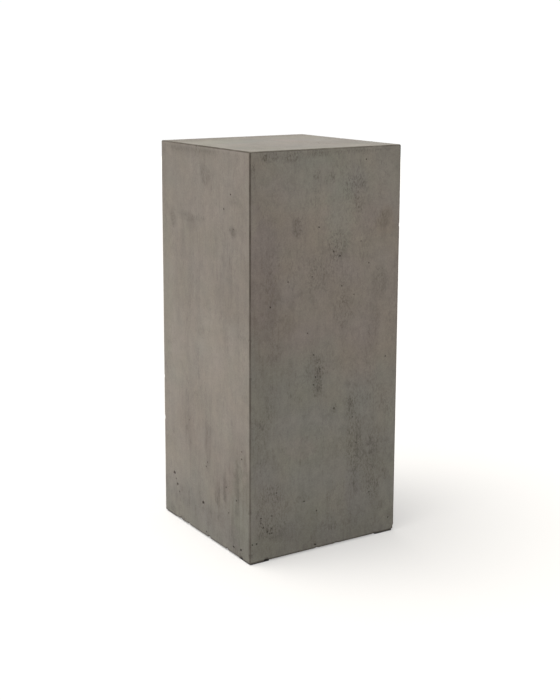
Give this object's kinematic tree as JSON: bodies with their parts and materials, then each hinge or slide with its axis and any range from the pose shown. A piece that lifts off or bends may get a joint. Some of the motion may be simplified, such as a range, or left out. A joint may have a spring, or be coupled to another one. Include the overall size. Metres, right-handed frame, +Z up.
{
  "type": "display pedestal",
  "caption": "Plain square concrete display pedestal: an upright hollow cast shell with eased edges, open underneath, on low pads under the corners.",
  "frame": {"origin": "centre of the footprint, on the floor under the foot pads", "axes": "+Z up along the pedestal's height, -Y out of the front face, +X to the right of it"},
  "size_m": [0.35, 0.35, 0.8],
  "materials": {
    "concrete": "warm grey cast concrete, matt, faintly clouded and streaked, with darker edges and a few small air holes",
    "foot_rubber": "matt near-black rubber"
  },
  "bodies": {
    "root": {"shell": "concrete", "foot_front_left": "foot_rubber", "foot_front_right": "foot_rubber", "foot_back_left": "foot_rubber", "foot_back_right": "foot_rubber"}
  },
  "joints": []
}
